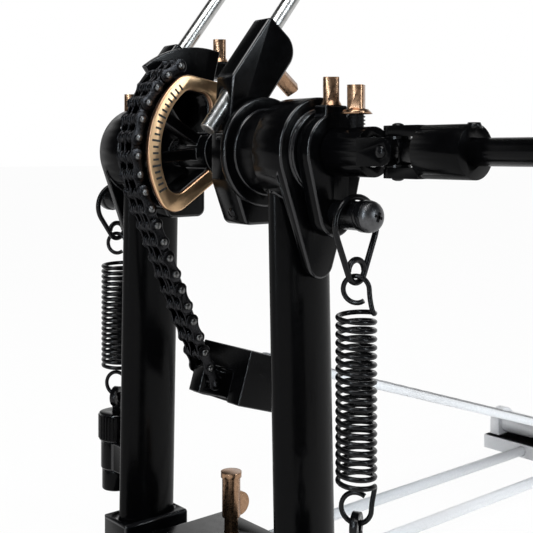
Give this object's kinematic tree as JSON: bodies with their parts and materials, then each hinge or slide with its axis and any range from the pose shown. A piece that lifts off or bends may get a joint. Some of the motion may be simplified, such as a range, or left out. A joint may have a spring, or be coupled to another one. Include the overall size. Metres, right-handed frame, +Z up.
{
  "type": "double bass drum pedal",
  "caption": "Double bass drum pedal: chain-drive primary pedal with two beaters and springs, linked by a telescopic universal-joint shaft to a slave pedal.",
  "frame": {"origin": "on the floor, below the beater shaft, midway between the primary pedal's posts", "axes": "+Z up, +Y towards the drum, +X to the drummer's right"},
  "size_m": [0.6078, 0.408, 0.3838],
  "materials": {
    "black": "gloss black",
    "chain": "blackened steel",
    "copper": "polished copper plate",
    "rose_gold": "satin rose gold",
    "dark_steel": "black nickel",
    "steel": "turned steel",
    "chrome": "chromed",
    "rubber": "matt rubber",
    "felt": "pressed felt",
    "board": "satin cast aluminium"
  },
  "bodies": {
    "frame": {"primary_base": "black", "left_post": "black", "right_post": "black", "post_bearings": "steel", "primary_heel_plate": "board", "primary_heel_pin": "chrome", "primary_base_rods": "chrome", "primary_feet": "rubber", "tension_bolts": "dark_steel", "tension_nuts": "black"},
    "left_spring": {"left_spring": "dark_steel"},
    "right_spring": {"right_spring": "dark_steel"},
    "hoop_jaw": {"hoop_jaw": "black"},
    "hoop_bolt": {"hoop_bolt": "copper"},
    "right_beater_shaft": {"primary_shaft": "steel", "cam_wheel": "black", "cam_ring": "rose_gold", "chain_wrap": "chain", "primary_beater_holder": "black", "right_rocker": "black", "right_spring_screw": "dark_steel", "primary_clamp_bolts": "copper"},
    "right_beater": {"primary_rod": "chrome", "primary_beater": "felt"},
    "right_spring_link": {"right_spring_link": "dark_steel"},
    "chain_link_1": {"chain_link_1": "chain"},
    "chain_link_2": {"chain_link_2": "chain"},
    "chain_link_3": {"chain_link_3": "chain"},
    "chain_link_4": {"chain_link_4": "chain"},
    "chain_strand": {"chain_strand": "chain"},
    "right_footboard": {"primary_footboard": "board", "primary_toe_block": "black"},
    "left_beater_shaft": {"secondary_shaft": "steel", "shaft_yoke": "black", "right_joint_cross": "steel", "right_drive_yoke": "black", "drive_rod": "black", "secondary_beater_holder": "black", "left_rocker": "black", "left_spring_screw": "dark_steel", "secondary_clamp_bolts": "copper"},
    "left_beater": {"secondary_rod": "chrome", "secondary_beater": "felt"},
    "left_spring_link": {"left_spring_link": "dark_steel"},
    "slave_frame": {"slave_base": "black", "slave_posts": "black", "slave_bearings": "steel", "slave_heel_plate": "board", "slave_rods_and_pin": "chrome", "slave_feet": "rubber"},
    "slave_shaft": {"slave_shaft": "steel", "slave_cam": "black", "slave_chain_wrap": "chain", "slave_yoke": "black", "left_joint_cross": "steel", "drive_sleeve": "black"},
    "slave_chain_link_1": {"slave_chain_link_1": "chain"},
    "slave_chain_link_2": {"slave_chain_link_2": "chain"},
    "slave_chain_strand": {"slave_chain_strand": "chain"},
    "left_footboard": {"slave_footboard": "board"}
  },
  "joints": [
    {"name": "right_stroke", "type": "hinge", "parent": "frame", "child": "right_beater_shaft", "pos_m": [0, 0, 0.205], "axis": [-1, 0, 0], "range_deg": [0, 32], "stiffness_Nm_per_rad": 1.2, "springref_deg": -20.05},
    {"name": "left_stroke", "type": "hinge", "parent": "frame", "child": "left_beater_shaft", "pos_m": [0, 0, 0.205], "axis": [-1, 0, 0], "range_deg": [0, 32], "stiffness_Nm_per_rad": 1.2, "springref_deg": -20.05},
    {"name": "right_beater_height", "type": "slide", "parent": "right_beater_shaft", "child": "right_beater", "axis": [0, -0.6198, 0.7848], "range_m": [-0.01, 0.02]},
    {"name": "right_spring_swing", "type": "hinge", "parent": "frame", "child": "right_spring", "pos_m": [0.0885, 0, 0.0759], "axis": [-1, 0, 0], "range_deg": [-7.37, 0]},
    {"name": "right_spring_stretch", "type": "slide", "parent": "right_spring", "child": "right_spring_link", "axis": [0, 0, 1], "range_m": [-0.0002, 0.00482], "deforming": ["right_spring"]},
    {"name": "left_beater_height", "type": "slide", "parent": "left_beater_shaft", "child": "left_beater", "axis": [0, -0.6198, 0.7848], "range_m": [-0.01, 0.02]},
    {"name": "left_spring_swing", "type": "hinge", "parent": "frame", "child": "left_spring", "pos_m": [-0.0885, 0, 0.0608], "axis": [-1, 0, 0], "range_deg": [-6.53, 0]},
    {"name": "left_spring_stretch", "type": "slide", "parent": "left_spring", "child": "left_spring_link", "axis": [0, 0, 1], "range_m": [-0.0002, 0.00473], "deforming": ["left_spring"]},
    {"name": "right_footboard_tilt", "type": "hinge", "parent": "frame", "child": "right_footboard", "pos_m": [0.0055, -0.285, 0.02], "axis": [-1, 0, 0], "range_deg": [0, 6.01]},
    {"name": "chain_link_1_pivot", "type": "hinge", "parent": "right_beater_shaft", "child": "chain_link_1", "pos_m": [0.0055, 0.0412, 0.21895], "axis": [-1, 0, 0], "range_deg": [-3.48, 0]},
    {"name": "chain_link_2_pivot", "type": "hinge", "parent": "chain_link_1", "child": "chain_link_2", "pos_m": [0.0055, 0.04306, 0.21117], "axis": [-1, 0, 0], "range_deg": [-11.05, 0]},
    {"name": "chain_link_3_pivot", "type": "hinge", "parent": "chain_link_2", "child": "chain_link_3", "pos_m": [0.0055, 0.04346, 0.20318], "axis": [-1, 0, 0], "range_deg": [-11.05, 0]},
    {"name": "chain_link_4_pivot", "type": "hinge", "parent": "chain_link_3", "child": "chain_link_4", "pos_m": [0.0055, 0.04239, 0.19525], "axis": [-1, 0, 0], "range_deg": [-11.05, 0]},
    {"name": "chain_strand_pivot", "type": "hinge", "parent": "chain_link_4", "child": "chain_strand", "pos_m": [0.0055, 0.03989, 0.18765], "axis": [-1, 0, 0], "range_deg": [-5.78, 0]},
    {"name": "slave_slide", "type": "slide", "parent": "frame", "child": "slave_frame", "axis": [-1, 0, 0], "range_m": [-0.03, 0.03]},
    {"name": "slave_shaft_turn", "type": "hinge", "parent": "slave_frame", "child": "slave_shaft", "pos_m": [-0.43, 0, 0.205], "axis": [-1, 0, 0], "range_deg": [-0.5, 32.5]},
    {"name": "left_footboard_tilt", "type": "hinge", "parent": "slave_frame", "child": "left_footboard", "pos_m": [-0.4245, -0.285, 0.02], "axis": [-1, 0, 0], "range_deg": [0, 6.01]},
    {"name": "slave_chain_link_1_pivot", "type": "hinge", "parent": "slave_shaft", "child": "slave_chain_link_1", "pos_m": [-0.4245, 0.0412, 0.21895], "axis": [-1, 0, 0], "range_deg": [-8.76, 0]},
    {"name": "slave_chain_link_2_pivot", "type": "hinge", "parent": "slave_chain_link_1", "child": "slave_chain_link_2", "pos_m": [-0.4245, 0.04346, 0.20318], "axis": [-1, 0, 0], "range_deg": [-21.6, 0]},
    {"name": "slave_chain_strand_pivot", "type": "hinge", "parent": "slave_chain_link_2", "child": "slave_chain_strand", "pos_m": [-0.4245, 0.03989, 0.18765], "axis": [-1, 0, 0], "range_deg": [-11.05, 0]},
    {"name": "hoop_jaw_tilt", "type": "hinge", "parent": "frame", "child": "hoop_jaw", "pos_m": [0.0055, 0.012, 0.0195], "axis": [-1, 0, 0], "range_deg": [0, 5.2]},
    {"name": "hoop_bolt_turn", "type": "hinge", "parent": "hoop_jaw", "child": "hoop_bolt", "pos_m": [0.0055, -0.012, 0.027], "axis": [0, 0, -1], "range_deg": [0, 600]}
  ],
  "couplings": [
    {"joint": "right_spring_swing", "follows": "right_stroke", "ratio": -0.21461},
    {"joint": "right_spring_stretch", "follows": "right_stroke", "m_per_rad": 0.0080934},
    {"joint": "left_spring_swing", "follows": "left_stroke", "ratio": -0.18854},
    {"joint": "left_spring_stretch", "follows": "left_stroke", "m_per_rad": 0.007923},
    {"joint": "right_footboard_tilt", "follows": "right_stroke", "ratio": 0.17231},
    {"joint": "chain_link_1_pivot", "follows": "right_stroke", "ratio": -0.093082},
    {"joint": "chain_link_2_pivot", "follows": "right_stroke", "ratio": -0.32975},
    {"joint": "chain_link_3_pivot", "follows": "right_stroke", "ratio": -0.32975},
    {"joint": "chain_link_4_pivot", "follows": "right_stroke", "ratio": -0.32975},
    {"joint": "chain_strand_pivot", "follows": "right_stroke", "ratio": -0.16488},
    {"joint": "slave_shaft_turn", "follows": "left_stroke", "ratio": 1},
    {"joint": "left_footboard_tilt", "follows": "left_stroke", "ratio": 0.17231},
    {"joint": "slave_chain_link_1_pivot", "follows": "left_stroke", "ratio": -0.25796},
    {"joint": "slave_chain_link_2_pivot", "follows": "left_stroke", "ratio": -0.6595},
    {"joint": "slave_chain_strand_pivot", "follows": "left_stroke", "ratio": -0.32975},
    {"joint": "hoop_jaw_tilt", "follows": "hoop_bolt_turn", "ratio": 0.008333}
  ]
}
